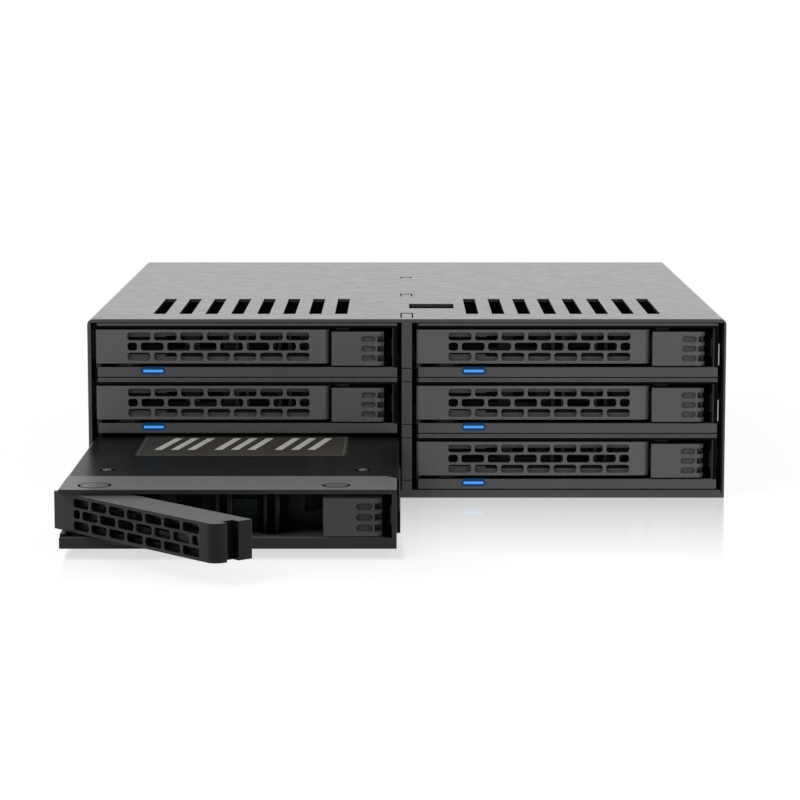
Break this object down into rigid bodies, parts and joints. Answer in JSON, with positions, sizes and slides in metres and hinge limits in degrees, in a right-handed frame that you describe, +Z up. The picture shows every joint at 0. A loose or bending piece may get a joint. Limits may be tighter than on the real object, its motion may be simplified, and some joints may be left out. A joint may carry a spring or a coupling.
{
  "type": "hot swap drive cage",
  "caption": "Half-height bay cage with two columns of lever-fronted trays for flat drives, fans and plugs at the rear.",
  "frame": {"origin": "on the underside, in the middle of the four bottom mounting holes", "axes": "+X to the right seen from the front, +Y from the front to the rear, +Z up"},
  "size_m": [0.146, 0.2608, 0.0413],
  "materials": {
    "case_paint": "satin black powder coat",
    "tray_paint": "fine-grained matt black paint",
    "rail_plastic": "matt",
    "board": "green solder mask",
    "connector": "moulded black",
    "plated_steel": "nickel plated",
    "black_steel": "blackened",
    "fan_plastic": "moulded black",
    "light_pipe": "clear, lit blue",
    "drive_case": "black anodised"
  },
  "bodies": {
    "cage": {"outer_shell": "case_paint", "bottom_plate": "case_paint", "centre_divider": "case_paint", "bay_rails": "rail_plastic", "rear_panel": "case_paint", "backplane": "board", "drive_sockets": "connector", "data_ports": "connector", "power_ports": "connector", "board_standoffs": "plated_steel", "rear_screws": "plated_steel", "side_screws": "black_steel", "left_fan_housing": "fan_plastic", "right_fan_housing": "fan_plastic"},
    "left_rotor": {"left_fan_rotor": "fan_plastic"},
    "right_rotor": {"right_fan_rotor": "fan_plastic"},
    "bottom_left_tray_body": {"bottom_left_tray": "tray_paint", "bottom_left_pins": "black_steel", "bottom_left_light_pipe": "light_pipe", "bottom_left_drive": "drive_case", "bottom_left_latch_spring": "plated_steel"},
    "bottom_left_lever_body": {"bottom_left_lever": "tray_paint"},
    "bottom_left_latch_body": {"bottom_left_latch": "tray_paint"},
    "middle_left_tray_body": {"middle_left_tray": "tray_paint", "middle_left_pins": "black_steel", "middle_left_light_pipe": "light_pipe", "middle_left_drive": "drive_case", "middle_left_latch_spring": "plated_steel"},
    "middle_left_lever_body": {"middle_left_lever": "tray_paint"},
    "middle_left_latch_body": {"middle_left_latch": "tray_paint"},
    "top_left_tray_body": {"top_left_tray": "tray_paint", "top_left_pins": "black_steel", "top_left_light_pipe": "light_pipe", "top_left_drive": "drive_case", "top_left_latch_spring": "plated_steel"},
    "top_left_lever_body": {"top_left_lever": "tray_paint"},
    "top_left_latch_body": {"top_left_latch": "tray_paint"},
    "bottom_right_tray_body": {"bottom_right_tray": "tray_paint", "bottom_right_pins": "black_steel", "bottom_right_light_pipe": "light_pipe", "bottom_right_drive": "drive_case", "bottom_right_latch_spring": "plated_steel"},
    "bottom_right_lever_body": {"bottom_right_lever": "tray_paint"},
    "bottom_right_latch_body": {"bottom_right_latch": "tray_paint"},
    "middle_right_tray_body": {"middle_right_tray": "tray_paint", "middle_right_pins": "black_steel", "middle_right_light_pipe": "light_pipe", "middle_right_drive": "drive_case", "middle_right_latch_spring": "plated_steel"},
    "middle_right_lever_body": {"middle_right_lever": "tray_paint"},
    "middle_right_latch_body": {"middle_right_latch": "tray_paint"},
    "top_right_tray_body": {"top_right_tray": "tray_paint", "top_right_pins": "black_steel", "top_right_light_pipe": "light_pipe", "top_right_drive": "drive_case", "top_right_latch_spring": "plated_steel"},
    "top_right_lever_body": {"top_right_lever": "tray_paint"},
    "top_right_latch_body": {"top_right_latch": "tray_paint"}
  },
  "joints": [
    {"name": "bottom_left_tray_slide", "type": "slide", "parent": "cage", "child": "bottom_left_tray_body", "axis": [0, -1, 0], "range_m": [-0.075, 0.045]},
    {"name": "bottom_left_lever_swing", "type": "hinge", "parent": "bottom_left_tray_body", "child": "bottom_left_lever_body", "pos_m": [-0.06434, -0.15643, 0.0091], "axis": [0, 0, -1], "range_deg": [-48, 22]},
    {"name": "bottom_left_latch_slide", "type": "slide", "parent": "bottom_left_tray_body", "child": "bottom_left_latch_body", "axis": [1, 0, 0], "range_m": [0, 0.0018], "stiffness_N_per_m": 300, "springref_m": -0.001, "deforming": ["bottom_left_latch_spring"]},
    {"name": "middle_left_tray_slide", "type": "slide", "parent": "cage", "child": "middle_left_tray_body", "axis": [0, -1, 0], "range_m": [0, 0.12]},
    {"name": "middle_left_lever_swing", "type": "hinge", "parent": "middle_left_tray_body", "child": "middle_left_lever_body", "pos_m": [-0.06434, -0.08142, 0.02205], "axis": [0, 0, -1], "range_deg": [0, 70]},
    {"name": "middle_left_latch_slide", "type": "slide", "parent": "middle_left_tray_body", "child": "middle_left_latch_body", "axis": [1, 0, 0], "range_m": [0, 0.0018], "stiffness_N_per_m": 300, "springref_m": -0.001, "deforming": ["middle_left_latch_spring"]},
    {"name": "top_left_tray_slide", "type": "slide", "parent": "cage", "child": "top_left_tray_body", "axis": [0, -1, 0], "range_m": [0, 0.12]},
    {"name": "top_left_lever_swing", "type": "hinge", "parent": "top_left_tray_body", "child": "top_left_lever_body", "pos_m": [-0.06434, -0.08142, 0.035], "axis": [0, 0, -1], "range_deg": [0, 70]},
    {"name": "top_left_latch_slide", "type": "slide", "parent": "top_left_tray_body", "child": "top_left_latch_body", "axis": [1, 0, 0], "range_m": [0, 0.0018], "stiffness_N_per_m": 300, "springref_m": -0.001, "deforming": ["top_left_latch_spring"]},
    {"name": "bottom_right_tray_slide", "type": "slide", "parent": "cage", "child": "bottom_right_tray_body", "axis": [0, -1, 0], "range_m": [0, 0.12]},
    {"name": "bottom_right_lever_swing", "type": "hinge", "parent": "bottom_right_tray_body", "child": "bottom_right_lever_body", "pos_m": [0.00903, -0.08142, 0.0091], "axis": [0, 0, -1], "range_deg": [0, 70]},
    {"name": "bottom_right_latch_slide", "type": "slide", "parent": "bottom_right_tray_body", "child": "bottom_right_latch_body", "axis": [1, 0, 0], "range_m": [0, 0.0018], "stiffness_N_per_m": 300, "springref_m": -0.001, "deforming": ["bottom_right_latch_spring"]},
    {"name": "middle_right_tray_slide", "type": "slide", "parent": "cage", "child": "middle_right_tray_body", "axis": [0, -1, 0], "range_m": [0, 0.12]},
    {"name": "middle_right_lever_swing", "type": "hinge", "parent": "middle_right_tray_body", "child": "middle_right_lever_body", "pos_m": [0.00903, -0.08142, 0.02205], "axis": [0, 0, -1], "range_deg": [0, 70]},
    {"name": "middle_right_latch_slide", "type": "slide", "parent": "middle_right_tray_body", "child": "middle_right_latch_body", "axis": [1, 0, 0], "range_m": [0, 0.0018], "stiffness_N_per_m": 300, "springref_m": -0.001, "deforming": ["middle_right_latch_spring"]},
    {"name": "top_right_tray_slide", "type": "slide", "parent": "cage", "child": "top_right_tray_body", "axis": [0, -1, 0], "range_m": [0, 0.12]},
    {"name": "top_right_lever_swing", "type": "hinge", "parent": "top_right_tray_body", "child": "top_right_lever_body", "pos_m": [0.00903, -0.08142, 0.035], "axis": [0, 0, -1], "range_deg": [0, 70]},
    {"name": "top_right_latch_slide", "type": "slide", "parent": "top_right_tray_body", "child": "top_right_latch_body", "axis": [1, 0, 0], "range_m": [0, 0.0018], "stiffness_N_per_m": 300, "springref_m": -0.001, "deforming": ["top_right_latch_spring"]},
    {"name": "left_fan_spin", "type": "hinge", "parent": "cage", "child": "left_rotor", "pos_m": [-0.0475, 0.055, 0.02065], "axis": [0, 1, 0], "continuous": true},
    {"name": "right_fan_spin", "type": "hinge", "parent": "cage", "child": "right_rotor", "pos_m": [0.0475, 0.055, 0.02065], "axis": [0, 1, 0], "continuous": true}
  ]
}
